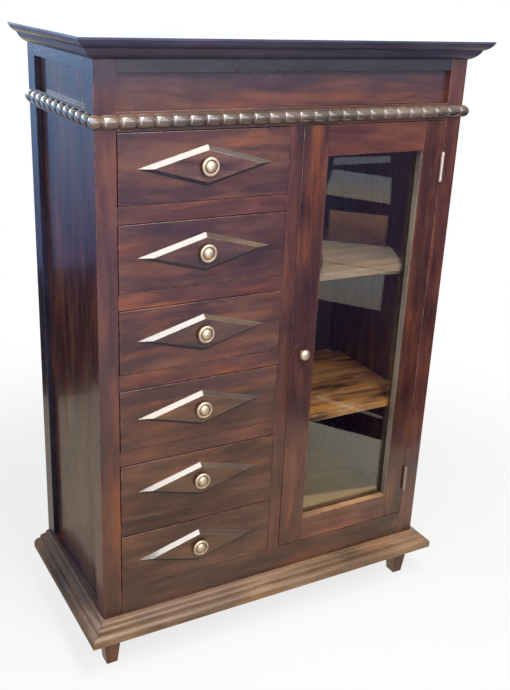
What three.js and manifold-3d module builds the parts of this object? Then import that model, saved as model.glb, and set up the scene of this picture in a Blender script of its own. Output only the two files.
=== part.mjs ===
// Haberdashery cabinet: six drawers beside a glazed door, raised on four tapered feet.
// Millimetres, +Z up. The front faces -Y and +X is to the right. The origin lies on the
// floor, under the middle of the space that the whole cabinet takes up.
import * as THREE from 'three';
import { mergeVertices } from 'three/addons/utils/BufferGeometryUtils.js';
import Module from 'manifold-3d';

const wasm = await Module();
wasm.setup();

// Widths across the front, from left to right
const postWidth = 42;
const drawerBayWidth = 370;
const muntinWidth = 30;
const doorBayWidth = 366;

// Heights up the front, from the floor
const footHeight = 87;
const plinthHeight = 45;
const bottomRailHeight = 63;
const drawerCount = 6;
const drawerBayHeight = 138;
const drawerRailHeight = 34;
const beadRailHeight = 36;
const friezeHeight = 67.5;
const topRailHeight = 23.5;
const bedHeight = 20;
const topThickness = 19;

// Depths, from the front face of the posts to the back
const carcassDepth = 400;
const postDepth = 46;
const railThickness = 24;
const sideRailThickness = 30;

// Clearances and the length that a cut runs past the wood
const fit = 0.3;
const overrun = 5;

// Feet, at the floor
const footWidth = 26;
const footDepth = 30;

// Frames and panels
const panelThickness = 10;
const panelRecess = 12;
const panelTongue = 6;
const sideLedge = 12;
const partitionThickness = 18;
const backThickness = 10;
const backRecess = 12;
const dustBoardThickness = 9;
const bottomBoardThickness = 12;

// Shelves in the cupboard
const shelfThickness = 16;
const shelfSetback = 4;
const shelfHousing = 5;
const shelfLevelShares = [0.317, 0.667];

// Base moulding: how far it stands out, and the height of each member
const plinthProjection = 39;
const plinthLipWidth = 6;
const plinthLipDrop = 2;
const plinthCoveWidth = 17;
const plinthCoveDrop = 14;
const plinthQuirk = 2.2;
const plinthOvoloDrop = 12;
const plinthUnderCut = 4;

// Bed moulding under the top
const bedProjection = 21.5;
const bedFoot = 1.5;
const bedBulge = 3;

// Top board and its moulded edge
const topProjection = 39;
const topSoffit = 23;
const topEdgeHeight = 4.5;
const topEdgeStep = 1;
const topBulge = 2;
const curveSteps = 5;

// Bead moulding: a turned string split lengthways and laid on the rail
const beadPitch = 34.5;
const beadRadius = 14;
const beadGrooveRadius = 10.4;
const beadAxisSetback = 2.5;
const beadCornerInset = 11;
const beadTongueHeight = 14;
const beadTongueReach = 2;
const beadFullness = 3;
const beadSteps = 6;
const beadSides = 18;

// Drawers
const drawerGap = 1.5;
const drawerProud = 1.5;
const drawerFrontThickness = 20;
const drawerSideGap = 3;
const drawerRunningGap = 0.5;
const drawerBoxHeight = 118;
const drawerBackSpace = 34;
const drawerWall = 11;
const drawerBottomThickness = 6;
const drawerBottomRise = 6;

// Raised lozenge on each drawer
const lozengeWidth = 298;
const lozengeHeight = 82;
const lozengeThickness = 8;
const lozengeBevel = 9;

// Drawer knobs, turned in brass
const knobRadius = 19;
const knobDepth = 12;
const knobSides = 20;
const knobProfileShares = [
  [0, 0], [0.5, 0], [0.42, 0.12], [0.44, 0.26], [0.9, 0.36], [1, 0.52],
  [0.95, 0.72], [0.8, 0.8], [0.64, 0.64], [0.52, 0.78], [0.3, 0.94], [0, 1],
];

// Door
const doorGap = 1.5;
const doorThickness = 28;
const closingStileWidth = 61;
const hingeStileWidth = 53;
const doorRailWidth = 61;
const glassThickness = 3;
const glassLip = 17;
const glassTongue = 7;

// Door knob, smaller than those of the drawers
const doorKnobRadius = 12.5;
const doorKnobDepth = 21;
const doorKnobSides = 16;
const doorKnobInset = 29;
const doorKnobProfileShares = [
  [0, 0], [0.56, 0], [0.44, 0.12], [0.4, 0.36], [0.86, 0.5], [1, 0.64], [0.92, 0.8], [0.56, 0.95], [0, 1],
];

// Butt hinges, three knuckles each
const hingeLength = 64;
const hingeInset = 101;
const leafThickness = 2;
const leafReach = 20;
const leafSpacing = 0.5;
const knuckleRadius = 4.2;
const pinRadius = 1.6;
const hingeSides = 16;

// Places worked out from the sizes
const carcassWidth = 2 * postWidth + drawerBayWidth + muntinWidth + doorBayWidth;
const right = carcassWidth / 2;
const left = -right;
const overhang = Math.max(topProjection, plinthProjection);
const front = (overhang - carcassDepth) / 2;
const back = front + carcassDepth;

const plinthTop = footHeight + plinthHeight;
const bayBottom = plinthTop + bottomRailHeight;
const drawerStep = drawerBayHeight + drawerRailHeight;
const bayTop = bayBottom + drawerCount * drawerStep - drawerRailHeight;
const friezeBottom = bayTop + beadRailHeight;
const topRailBottom = friezeBottom + friezeHeight;
const bedBottom = topRailBottom + topRailHeight;
const carcassTop = bedBottom + bedHeight;
const beadLevel = bayTop + beadRailHeight / 2;

const drawerBayLeft = left + postWidth;
const drawerBayRight = drawerBayLeft + drawerBayWidth;
const doorBayLeft = drawerBayRight + muntinWidth;
const doorBayRight = right - postWidth;
const partitionMiddle = (drawerBayRight + doorBayLeft) / 2;
const partitionLeft = partitionMiddle - partitionThickness / 2;
const partitionRight = partitionMiddle + partitionThickness / 2;
const postBack = front + postDepth;
const backPostFront = back - postDepth;
const backPanelFront = back - backRecess - backThickness;
const sidePanelInner = right - panelRecess - panelThickness;

// Finishes, one new material for each piece
const darkWood = () => new THREE.MeshStandardMaterial({ color: 0x55342a, roughness: 0.36, metalness: 0 });
const redWood = () => new THREE.MeshStandardMaterial({ color: 0x6a3a2a, roughness: 0.32, metalness: 0 });
const tanWood = () => new THREE.MeshStandardMaterial({ color: 0x8a6a50, roughness: 0.4, metalness: 0 });
const plainWood = () => new THREE.MeshStandardMaterial({ color: 0x8b623c, roughness: 0.6, metalness: 0 });
const brass = () => new THREE.MeshStandardMaterial({ color: 0xcdbb8e, roughness: 0.28, metalness: 1 });
const greyBrass = () => new THREE.MeshStandardMaterial({ color: 0x9b9488, roughness: 0.4, metalness: 1 });
const paneGlass = () => new THREE.MeshStandardMaterial({ color: 0xdfe6e6, roughness: 0.04, metalness: 0 });

const cabinet = new THREE.Group();

// Turns a closed surface the right way out
function outward(geometry) {
  const position = geometry.attributes.position;
  const index = geometry.index.array;
  const a = new THREE.Vector3();
  const b = new THREE.Vector3();
  const c = new THREE.Vector3();
  let volume = 0;
  for (let i = 0; i < index.length; i += 3) {
    a.fromBufferAttribute(position, index[i]);
    b.fromBufferAttribute(position, index[i + 1]);
    c.fromBufferAttribute(position, index[i + 2]);
    volume += a.dot(b.cross(c));
  }
  if (volume < 0) {
    for (let i = 0; i < index.length; i += 3) {
      const swap = index[i + 1];
      index[i + 1] = index[i + 2];
      index[i + 2] = swap;
    }
  }
  return geometry;
}

// Makes a solid of a closed surface, leaving out the empty triangles at a lathe's poles
function solid(geometry) {
  const bare = geometry.clone();
  bare.deleteAttribute('normal');
  bare.deleteAttribute('uv');
  const merged = mergeVertices(bare);
  const corners = merged.index.array;
  const kept = [];
  for (let i = 0; i < corners.length; i += 3) {
    const [a, b, c] = [corners[i], corners[i + 1], corners[i + 2]];
    if (a !== b && b !== c && c !== a) {
      kept.push(a, b, c);
    }
  }
  merged.setIndex(kept);
  outward(merged);
  return new wasm.Manifold(new wasm.Mesh({
    numProp: 3,
    vertProperties: Float32Array.from(merged.attributes.position.array),
    triVerts: Uint32Array.from(merged.index.array),
  }));
}

// Hangs a solid in the cabinet as a named piece
function place(name, body, material) {
  const { vertProperties, triVerts } = body.getMesh();
  const geometry = new THREE.BufferGeometry();
  geometry.setAttribute('position', new THREE.BufferAttribute(vertProperties, 3));
  geometry.setIndex(new THREE.BufferAttribute(triVerts, 1));
  const mesh = new THREE.Mesh(geometry, material);
  mesh.name = name;
  cabinet.add(mesh);
}

// A range of space: where a board starts and ends along x, y and z
const range = (x, y, z) => ({ x, y, z });

// The same range on the given side of the cabinet, -1 for the left and 1 for the right
const mirrored = (side, { x, y, z }) => range([side * x[0], side * x[1]].sort((a, b) => a - b), y, z);

// A range made larger all round, as the room that a piece needs in its neighbour
function grown({ x, y, z }, by = fit) {
  const widen = ([low, high]) => [low - by, high + by];
  return range(widen(x), widen(y), widen(z));
}

// A plain board
function board({ x, y, z }) {
  const geometry = new THREE.BoxGeometry(x[1] - x[0], y[1] - y[0], z[1] - z[0]);
  geometry.translate((x[0] + x[1]) / 2, (y[0] + y[1]) / 2, (z[0] + z[1]) / 2);
  return solid(geometry);
}

// A four-sided body whose outline is given level by level, from the bottom up
function lofted(levels) {
  const last = levels.length - 1;
  const geometry = new THREE.BoxGeometry(1, 1, 1, 1, 1, last);
  const position = geometry.attributes.position;
  for (let i = 0; i < position.count; i += 1) {
    const level = levels[Math.round((position.getZ(i) + 1 / 2) * last)];
    const x = position.getX(i) < 0 ? level.x[0] : level.x[1];
    const y = position.getY(i) < 0 ? level.y[0] : level.y[1];
    position.setXYZ(i, x, y, level.z);
  }
  return solid(geometry);
}

// An upright prism over an outline in plan
function prism(corners, [bottom, top]) {
  const outline = new THREE.Shape(corners.map(([x, y]) => new THREE.Vector2(x, y)));
  const geometry = new THREE.ExtrudeGeometry(outline, { depth: top - bottom, bevelEnabled: false });
  geometry.translate(0, 0, bottom);
  return solid(geometry);
}

// A turned body. The profile gives each radius and how far it lies along the axis.
function turned(profile, sides) {
  const points = profile.map(([radius, along]) => new THREE.Vector2(radius, along));
  return new THREE.LatheGeometry(points, sides);
}

// Points of a quarter ellipse from one end to the other, both ends included
function quarter([x, y], [width, height], startTurns, endTurns, steps) {
  const points = [];
  for (let i = 0; i <= steps; i += 1) {
    const angle = 2 * Math.PI * (startTurns + ((endTurns - startTurns) * i) / steps);
    points.push([x + width * Math.cos(angle), y + height * Math.sin(angle)]);
  }
  return points;
}

// Points of a shallow curve between two places, both included, swelling to the right of its way
function bowed([x0, y0], [x1, y1], bulge, steps) {
  const length = Math.hypot(x1 - x0, y1 - y0);
  const points = [];
  for (let i = 0; i <= steps; i += 1) {
    const share = i / steps;
    const swell = (4 * share * (1 - share) * bulge) / length;
    points.push([
      x0 + share * (x1 - x0) + swell * (y1 - y0),
      y0 + share * (y1 - y0) - swell * (x1 - x0),
    ]);
  }
  return points;
}

// A moulding that runs round the front and both sides, mitred at the front corners.
// The profile gives how far each point stands out from the carcass, and its height.
function mouldingRun(profile, bottom, where) {
  const outline = new THREE.Shape(profile.map(([out, up]) => new THREE.Vector2(out, up)));
  const geometry = new THREE.ExtrudeGeometry(outline, { depth: 1, bevelEnabled: false });
  const position = geometry.attributes.position;
  for (let i = 0; i < position.count; i += 1) {
    const out = position.getX(i);
    const up = bottom + position.getY(i);
    const atEnd = position.getZ(i) > 1 / 2;
    if (where === 'front') {
      const mitre = right + out - fit;
      position.setXYZ(i, atEnd ? mitre : -mitre, front - out, up);
    } else {
      const side = where === 'left' ? -1 : 1;
      position.setXYZ(i, side * (right + out), atEnd ? back : front - out + fit, up);
    }
  }
  return solid(geometry);
}

// Posts: one at each corner, running down through the base into a tapered foot
function postRange(side, end) {
  const y = end === 'front' ? [front, postBack] : [backPostFront, back];
  return mirrored(side, range([right - postWidth, right], y, [0, carcassTop]));
}

function post(side, end) {
  const { x, y } = postRange(side, end);
  const middleX = (x[0] + x[1]) / 2;
  const middleY = (y[0] + y[1]) / 2;
  const toe = {
    x: [middleX - footWidth / 2, middleX + footWidth / 2],
    y: [middleY - footDepth / 2, middleY + footDepth / 2],
    z: 0,
  };
  return lofted([toe, { x, y, z: footHeight }, { x, y, z: carcassTop }]);
}

const posts = [[-1, 'front'], [1, 'front'], [-1, 'back'], [1, 'back']];

function clearOfPosts(body) {
  return posts.reduce((rest, [side, end]) => rest.subtract(board(grown(postRange(side, end)))), body);
}

// Side panels and the rails above and below them
const sidePanel = (side) => mirrored(side, range(
  [sidePanelInner, right - panelRecess],
  [postBack - panelTongue, backPostFront + panelTongue],
  [plinthTop + sideLedge - panelTongue, topRailBottom + panelTongue],
));

const backPanel = range(
  [drawerBayLeft - panelTongue, doorBayRight + panelTongue],
  [backPanelFront, backPanelFront + backThickness],
  [footHeight, carcassTop - fit],
);

function sideRail(side, z) {
  const between = [postBack + fit, backPostFront - fit];
  const rail = mirrored(side, range([right - sideRailThickness, right], between, z));
  return board(rail).subtract(board(grown(sidePanel(side))));
}

// Hinges: each half is a leaf with its share of the three knuckles
const hingeAxisX = doorBayRight - doorGap / 2;
const hingeAxisY = front - knuckleRadius - fit;
const hinges = [
  { name: 'upper', middle: bayTop - doorGap - hingeInset },
  { name: 'lower', middle: bayBottom + doorGap + hingeInset },
];

const leafRange = (side, middle, y) => {
  const inner = hingeAxisX + side * leafSpacing / 2;
  const outer = inner + side * leafThickness;
  return range(
    [Math.min(inner, outer), Math.max(inner, outer)],
    y,
    [middle - hingeLength / 2, middle + hingeLength / 2],
  );
};

function barrel(radius, [bottom, top]) {
  const geometry = new THREE.CylinderGeometry(radius, radius, top - bottom, hingeSides);
  geometry.rotateX(Math.PI / 2);
  geometry.translate(hingeAxisX, hingeAxisY, (bottom + top) / 2);
  return solid(geometry);
}

function hingeLeaf(side, middle, fixed) {
  const low = middle - hingeLength / 2;
  const high = middle + hingeLength / 2;
  const knuckleLength = hingeLength / 3;
  const centreKnuckle = [middle - knuckleLength / 2, middle + knuckleLength / 2];
  let leaf = board(leafRange(side, middle, [hingeAxisY, front + leafReach]));
  if (fixed) {
    leaf = leaf.add(barrel(knuckleRadius, [low, high]));
    leaf = leaf.subtract(barrel(knuckleRadius + fit, [centreKnuckle[0] - fit, centreKnuckle[1] + fit]));
    return leaf.add(barrel(pinRadius, [low, high]));
  }
  leaf = leaf.subtract(barrel(knuckleRadius + fit, [low - overrun, centreKnuckle[0]]));
  leaf = leaf.subtract(barrel(knuckleRadius + fit, [centreKnuckle[1], high + overrun]));
  leaf = leaf.add(barrel(knuckleRadius, centreKnuckle));
  return leaf.subtract(barrel(pinRadius + fit, [low - overrun, high + overrun]));
}

// The bed that is cut in the wood for a leaf
function leafBed(side, middle) {
  return board(grown(leafRange(side, middle, [front - overrun, front + leafReach])));
}

function makePosts() {
  for (const [side, end] of posts) {
    let body = post(side, end);
    body = body.subtract(board(grown(sidePanel(side))));
    if (end === 'back') {
      body = body.subtract(board(grown(backPanel)));
    }
    if (end === 'front' && side > 0) {
      body = hinges.reduce((rest, { middle }) => rest.subtract(leafBed(1, middle)), body);
    }
    place(`post_${end}_${side < 0 ? 'left' : 'right'}`, body, redWood());
  }
}

function makeSides() {
  for (const [side, word] of [[-1, 'left'], [1, 'right']]) {
    place(`side_panel_${word}`, board(sidePanel(side)), darkWood());
    place(`side_top_rail_${word}`, sideRail(side, [topRailBottom, carcassTop]), darkWood());
    place(`side_bottom_rail_${word}`, sideRail(side, [footHeight, plinthTop + sideLedge]), darkWood());
  }
}

// Front frame: the frieze with its sunk field, the bottom rail and the muntin with the partition
const betweenPosts = [drawerBayLeft + fit, doorBayRight - fit];
const muntin = range([drawerBayRight, doorBayLeft], [front, postBack], [bayBottom + fit, bayTop - fit]);

const shelves = shelfLevelShares.map((share) => {
  const top = bayBottom + share * (bayTop - bayBottom);
  return range(
    [partitionRight - shelfHousing, sidePanelInner - fit],
    [front + doorThickness + shelfSetback, backPanelFront - fit],
    [top - shelfThickness, top],
  );
});

function makeFrontFrame() {
  const depth = [front, front + railThickness];
  const frieze = board(range(betweenPosts, depth, [friezeBottom + fit, carcassTop]));
  const field = board(range(
    [left, right],
    [front - overrun, front + panelRecess],
    [friezeBottom - overrun, topRailBottom],
  ));
  place('frieze_board', frieze.subtract(field), darkWood());

  const bottomRail = board(range(betweenPosts, depth, [footHeight, bayBottom]));
  place('front_bottom_rail', bottomRail, darkWood());

  const partition = board(range(
    [partitionLeft, partitionRight],
    [postBack - overrun, backPanelFront - fit],
    [bayBottom + fit, carcassTop - fit],
  ));
  const divider = partition.add(board(muntin));
  const housed = shelves.reduce((rest, shelf) => rest.subtract(board(grown(shelf))), divider);
  place('centre_partition', housed, redWood());
}

// Boards inside, notched round the posts
function makeInnerBoards() {
  const inside = [-sidePanelInner + fit, sidePanelInner - fit];
  const bottom = range(
    inside,
    [front + railThickness + fit, backPanelFront - fit],
    [bayBottom - bottomBoardThickness, bayBottom],
  );
  place('bottom_board', clearOfPosts(board(bottom)), plainWood());
  place('back_panel', board(backPanel), plainWood());
  shelves.forEach((shelf, i) => {
    const body = clearOfPosts(board(shelf)).subtract(board(grown(muntin)));
    place(`shelf_${i === 0 ? 'lower' : 'upper'}`, body, plainWood());
  });
}

// Rails between the drawers, each in one with the dust board that the drawer above runs on
const drawerFloor = (number) => bayBottom + (drawerCount - number) * drawerStep;

function makeDrawerRails() {
  for (let number = 1; number < drawerCount; number += 1) {
    const top = drawerFloor(number);
    const rail = board(range(
      [drawerBayLeft + fit, drawerBayRight - fit],
      [front, front + railThickness],
      [top - drawerRailHeight, top],
    ));
    const dust = board(range(
      [-sidePanelInner + fit, partitionLeft - fit],
      [front + railThickness - overrun, backPanelFront - fit],
      [top - dustBoardThickness, top],
    ));
    const body = clearOfPosts(dust).subtract(board(grown(muntin))).add(rail);
    place(`drawer_rail_${number}`, body, darkWood());
  }
}

// Mouldings
function plinthProfile() {
  const coveStart = [plinthLipWidth, -plinthLipDrop];
  const coveEnd = [coveStart[0] + plinthCoveWidth, coveStart[1] - plinthCoveDrop];
  const half = [plinthCoveWidth / 2, plinthCoveDrop / 2];
  const turn = coveStart[0] + half[0];
  const hollow = quarter([turn, coveStart[1]], half, 1 / 2, 3 / 4, curveSteps);
  const swell = quarter([turn, coveEnd[1]], half, 1 / 4, 0, curveSteps);
  const quirkEnd = [coveEnd[0] + plinthQuirk, coveEnd[1] - plinthQuirk];
  const bulge = [plinthProjection - quirkEnd[0], plinthOvoloDrop];
  const ovolo = quarter([quirkEnd[0], quirkEnd[1] - plinthOvoloDrop], bulge, 1 / 4, 0, curveSteps);
  return [
    [fit, 0], ...hollow, ...swell.slice(1),
    [coveEnd[0], quirkEnd[1]], ...ovolo,
    [plinthProjection, -plinthHeight + plinthUnderCut],
    [plinthProjection - plinthUnderCut, -plinthHeight],
    [fit, -plinthHeight],
  ];
}

function bedProfile() {
  const swell = bowed([bedFoot, 0], [bedProjection, bedHeight], bedBulge, curveSteps);
  return [[fit, 0], ...swell, [fit, bedHeight]];
}

function topProfile() {
  const edgeBottom = topThickness - topEdgeHeight;
  const swell = bowed([topSoffit, 0], [topProjection - topEdgeStep, edgeBottom], topBulge, curveSteps);
  return [...swell, [topProjection, edgeBottom], [topProjection, topThickness]];
}

function makeTop() {
  const bottom = carcassTop + fit;
  const height = topThickness - fit;
  const levels = topProfile().map(([out, up]) => ({
    x: [left - out, right + out],
    y: [front - out, back],
    z: bottom + (up * height) / topThickness,
  }));
  place('top_board', lofted(levels), darkWood());
  for (const where of ['front', 'left', 'right']) {
    place(`bed_moulding_${where}`, mouldingRun(bedProfile(), bedBottom, where), darkWood());
  }
}

function makePlinth() {
  for (const where of ['front', 'left', 'right']) {
    place(`plinth_moulding_${where}`, mouldingRun(plinthProfile(), plinthTop, where), tanWood());
  }
}

// Radius of the bead string at a share of the way from one groove to the next
function beadRadiusAt(share) {
  const fromMiddle = Math.abs(2 * share - 1);
  const rise = (1 - fromMiddle ** beadFullness) ** (1 / beadFullness);
  return beadGrooveRadius + (beadRadius - beadGrooveRadius) * rise;
}

// The turned string, from its first groove to its last, with a corner bead past the mitred ends
function beadString(start, end, mitredEnd) {
  const count = Math.round((end - start) / beadPitch);
  const pitch = (end - start) / count;
  const steps = [...Array(beadSteps).keys()].map((i) => (1 - Math.cos((Math.PI * i) / beadSteps)) / 2);
  const profile = [];
  for (let bead = 0; bead < count; bead += 1) {
    const first = start + bead * pitch;
    steps.forEach((share) => profile.push([beadRadiusAt(share), first + share * pitch]));
  }
  profile.push([beadGrooveRadius, end]);
  const corner = steps.slice(1).map((share) => [beadRadiusAt(share), share * beadPitch]);
  const before = corner.map(([radius, along]) => [radius, start - along]).reverse();
  const after = mitredEnd ? corner.map(([radius, along]) => [radius, end + along]) : [];
  const whole = [...before, ...profile, ...after];
  return turned([[0, whole[0][1]], ...whole, [0, whole[whole.length - 1][1]]], beadSides);
}

function makeFrontBeadRail() {
  const reach = 2 * beadRadius;
  const string = beadString(left + beadCornerInset, right - beadCornerInset, true);
  string.rotateZ(-Math.PI / 2);
  string.translate(0, front + beadAxisSetback, beadLevel);
  const room = prism([
    [left, front - fit],
    [right, front - fit],
    [right + reach, front - fit - reach],
    [left - reach, front - fit - reach],
  ], [bayTop, friezeBottom]);
  const rail = board(range(betweenPosts, [front, front + railThickness], [bayTop, friezeBottom]));
  const tongue = board(range(
    betweenPosts,
    [front - beadTongueReach, front + railThickness],
    [beadLevel - beadTongueHeight / 2, beadLevel + beadTongueHeight / 2],
  ));
  place('bead_rail_front', solid(string).intersect(room).add(tongue).add(rail), redWood());
}

function makeSideBeadRail(side, word) {
  const reach = 2 * beadRadius;
  const wall = side * right;
  const string = beadString(front + beadCornerInset, back, false);
  string.translate(wall - side * beadAxisSetback, 0, beadLevel);
  const corners = [
    [wall + side * fit, front],
    [wall + side * fit, back],
    [wall + side * (fit + reach), back],
    [wall + side * (fit + reach), front - reach],
  ];
  const room = prism(side > 0 ? corners : corners.reverse(), [bayTop, friezeBottom]);
  const between = [postBack + fit, backPostFront - fit];
  const inner = right - panelRecess + fit;
  const rail = board(mirrored(side, range([inner, right], between, [bayTop, friezeBottom])));
  const tongue = board(mirrored(side, range(
    [inner, right + beadTongueReach],
    between,
    [beadLevel - beadTongueHeight / 2, beadLevel + beadTongueHeight / 2],
  )));
  place(`bead_rail_${word}`, solid(string).intersect(room).add(tongue).add(rail), darkWood());
}

// Turned knobs, their backs on a front that faces -Y
function knob(shares, radius, depth, sides, x, y, z) {
  const geometry = turned(shares.map(([out, along]) => [out * radius, along * depth]), sides);
  geometry.rotateX(Math.PI);
  geometry.translate(x, y, z);
  return solid(geometry);
}

// Drawers, numbered from the top
function makeDrawer(number) {
  const floor = drawerFloor(number);
  const face = front - drawerProud;
  const frontBack = face + drawerFrontThickness;
  const middleX = (drawerBayLeft + drawerBayRight) / 2;
  const middleZ = floor + drawerBayHeight / 2;

  const panel = board(range(
    [drawerBayLeft + drawerGap, drawerBayRight - drawerGap],
    [face, frontBack],
    [floor + drawerGap, floor + drawerBayHeight - drawerGap],
  ));
  const halfWidth = lozengeWidth / 2;
  const halfHeight = lozengeHeight / 2;
  const reach = (halfWidth * halfHeight) / Math.hypot(halfWidth, halfHeight);
  const topShare = 1 - lozengeBevel / reach;
  const sunk = overrun / 2;
  const block = new THREE.CylinderGeometry(topShare, 1, lozengeThickness, 4);
  block.rotateX(Math.PI);
  block.scale(halfWidth, 1, halfHeight);
  block.translate(middleX, face - lozengeThickness / 2, middleZ);
  const root = new THREE.CylinderGeometry(1, 1, sunk, 4);
  root.scale(halfWidth, 1, halfHeight);
  root.translate(middleX, face + sunk / 2, middleZ);
  place(`drawer_front_${number}`, panel.add(solid(block).add(solid(root))), darkWood());

  const boxX = [drawerBayLeft + drawerSideGap, drawerBayRight - drawerSideGap];
  const boxY = [frontBack + fit, backPanelFront - drawerBackSpace];
  const boxZ = [floor + drawerRunningGap, floor + drawerRunningGap + drawerBoxHeight];
  const innerX = [boxX[0] + drawerWall, boxX[1] - drawerWall];
  const bottomLow = boxZ[0] + drawerBottomRise;
  const outer = board(range(boxX, boxY, boxZ));
  const inner = board(range(
    innerX,
    [boxY[0] - overrun, boxY[1] - drawerWall],
    [bottomLow + drawerBottomThickness, boxZ[1] + overrun],
  ));
  const under = board(range(
    innerX,
    [boxY[0] - overrun, boxY[1] - drawerWall],
    [boxZ[0] - overrun, bottomLow],
  ));
  place(`drawer_box_${number}`, outer.subtract(inner).subtract(under), plainWood());

  const seat = face - lozengeThickness - fit;
  const pull = knob(knobProfileShares, knobRadius, knobDepth, knobSides, middleX, seat, middleZ);
  place(`drawer_knob_${number}`, pull, brass());
}

// Door: two stiles and two rails round a pane that sits in a groove
function makeDoor() {
  const doorLeft = doorBayLeft + doorGap;
  const doorRight = doorBayRight - doorGap;
  const doorBottom = bayBottom + doorGap;
  const doorTop = bayTop - doorGap;
  const y = [front, front + doorThickness];
  const opening = range(
    [doorLeft + closingStileWidth, doorRight - hingeStileWidth],
    [front + glassLip, front + glassLip + glassThickness],
    [doorBottom + doorRailWidth, doorTop - doorRailWidth],
  );
  const pane = range(
    [opening.x[0] - glassTongue, opening.x[1] + glassTongue],
    opening.y,
    [opening.z[0] - glassTongue, opening.z[1] + glassTongue],
  );
  const groove = board(grown(pane));
  const closing = board(range([doorLeft, opening.x[0] - fit], y, [doorBottom, doorTop]));
  const hanging = board(range([opening.x[1] + fit, doorRight], y, [doorBottom, doorTop]));
  const hung = hinges.reduce((rest, { middle }) => rest.subtract(leafBed(-1, middle)), hanging);
  place('door_stile_closing', closing.subtract(groove), redWood());
  place('door_stile_hinged', hung.subtract(groove), redWood());
  const upper = board(range(opening.x, y, [opening.z[1], doorTop]));
  const lower = board(range(opening.x, y, [doorBottom, opening.z[0]]));
  place('door_rail_top', upper.subtract(groove), redWood());
  place('door_rail_bottom', lower.subtract(groove), redWood());
  place('door_pane', board(pane), paneGlass());

  const pull = knob(
    doorKnobProfileShares,
    doorKnobRadius,
    doorKnobDepth,
    doorKnobSides,
    doorLeft + doorKnobInset,
    front - fit,
    (doorBottom + doorTop) / 2,
  );
  place('door_knob', pull, brass());
}

function makeHinges() {
  for (const { name, middle } of hinges) {
    place(`hinge_${name}_fixed_leaf`, hingeLeaf(1, middle, true), greyBrass());
    place(`hinge_${name}_door_leaf`, hingeLeaf(-1, middle, false), greyBrass());
  }
}

makePosts();
makeSides();
makeFrontFrame();
makeInnerBoards();
makeDrawerRails();
makeTop();
makePlinth();
makeFrontBeadRail();
makeSideBeadRail(-1, 'left');
makeSideBeadRail(1, 'right');
for (let number = 1; number <= drawerCount; number += 1) {
  makeDrawer(number);
}
makeDoor();
makeHinges();

export default cabinet;
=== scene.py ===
"""Looks of a haberdashery cabinet: stained and varnished wood, brass knobs, a glazed door.

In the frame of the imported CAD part: x along the front, y towards the back, z up, in metres.
Sizes of the cabinet are written in millimetres and go through mm().
"""

import itertools
import math

import bmesh
import bpy
from mathutils import Matrix, Vector
from mathutils.bvhtree import BVHTree


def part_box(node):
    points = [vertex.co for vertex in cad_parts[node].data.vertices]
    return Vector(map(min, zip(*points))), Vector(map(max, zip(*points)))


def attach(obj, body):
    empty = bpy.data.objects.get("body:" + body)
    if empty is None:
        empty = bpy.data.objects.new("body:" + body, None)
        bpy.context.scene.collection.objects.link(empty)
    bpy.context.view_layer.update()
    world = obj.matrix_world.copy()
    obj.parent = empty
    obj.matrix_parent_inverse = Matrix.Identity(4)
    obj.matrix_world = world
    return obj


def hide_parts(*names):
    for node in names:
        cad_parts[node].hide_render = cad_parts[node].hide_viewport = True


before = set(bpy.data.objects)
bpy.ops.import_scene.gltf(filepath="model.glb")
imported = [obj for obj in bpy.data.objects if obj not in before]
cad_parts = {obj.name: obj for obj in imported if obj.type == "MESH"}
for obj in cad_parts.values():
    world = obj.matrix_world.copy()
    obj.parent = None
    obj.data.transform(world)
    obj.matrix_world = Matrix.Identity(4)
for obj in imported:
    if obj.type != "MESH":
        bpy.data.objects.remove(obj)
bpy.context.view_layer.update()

LENGTH, DEPTH, HEIGHT = 0, 1, 2
RIGHT, BACKWARD, FORWARD = Vector((1, 0, 0)), Vector((0, 1, 0)), Vector((0, -1, 0))


def mm(*values):
    """Millimetres in metres, as a vector where there are three of them."""
    metres = [value / 1000 for value in values]
    return metres[0] if len(metres) == 1 else Vector(metres)


# ---- Sizes in millimetres ----

FIT = 0.3  # air between neighbouring pieces
# Width of the rounding on most boards, and on some
ARRIS, POST_ARRIS, SHELF_ARRIS, TOP_ARRIS, DOOR_ARRIS = 0.5, 1.0, 1.0, 0.6, 0.6
BED_ARRIS, BASE_ARRIS, PANEL_ARRIS, BEAD_ARRIS = 0.3, 0.35, 0.9, 0.25
DRAWER_FRONT_ARRIS, BOX_ARRIS, LOZENGE_ARRIS, LEAF_ARRIS = 1.1, 0.7, 0.6, 0.25

CASE_HALF = 425
FRONT, BACK = -180.5, 219.5
POST_WIDTH, POST_DEPTH = 42, 46
BAY_FLOOR, BAY_TOP = 195, 1193
FRIEZE_FIELD_TOP = 1296.5
SIDE_PANEL_JOINTS = (-74.5, 65.5)
BACK_PANEL_JOINTS = (-275, -137, 0, 141, 268)

BEAD_RAIL_HEIGHT = 36
BEAD_LEVEL = BAY_TOP + BEAD_RAIL_HEIGHT / 2
BEAD_PITCH = 34.5
FRONT_BEADS, SIDE_BEADS = 24, 11
BEAD_START = 11  # from the corner of the case to the first whole bead
BEAD_SUNK = 2.5  # the string's axis lies this far behind the face
BEAD_NECK, BEAD_SWELL, BEAD_SQUARENESS = 10.4, 3.6, 2.2
BEAD_STEPS, BEAD_SIDES = 10, 32
BEAD_BOARD_DEPTH = 22
TONGUE_PROUD, TONGUE_DEPTH, TONGUE_HALF = 2, 10, 7

DRAWER_COUNT = 6
DRAWER_BAY = (-383, -13)
DRAWER_STEP, DRAWER_BAY_HEIGHT = 172, 138
DRAWER_GAP = 1.5
DRAWER_FACE = FRONT - 1.5
DRAWER_FRONT_THICKNESS = 20
BOX_WALL = 11
BOX_BOTTOM = (6, 12)  # underside and upper side, above the box's lower edge
LOZENGE_HALF_LENGTH, LOZENGE_HALF_HEIGHT = 149, 41
LOZENGE_LET_IN, LOZENGE_THICKNESS = 0.5, 8.5
LOZENGE_TOP_SHARE = 0.772  # its flat top against its foot

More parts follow.
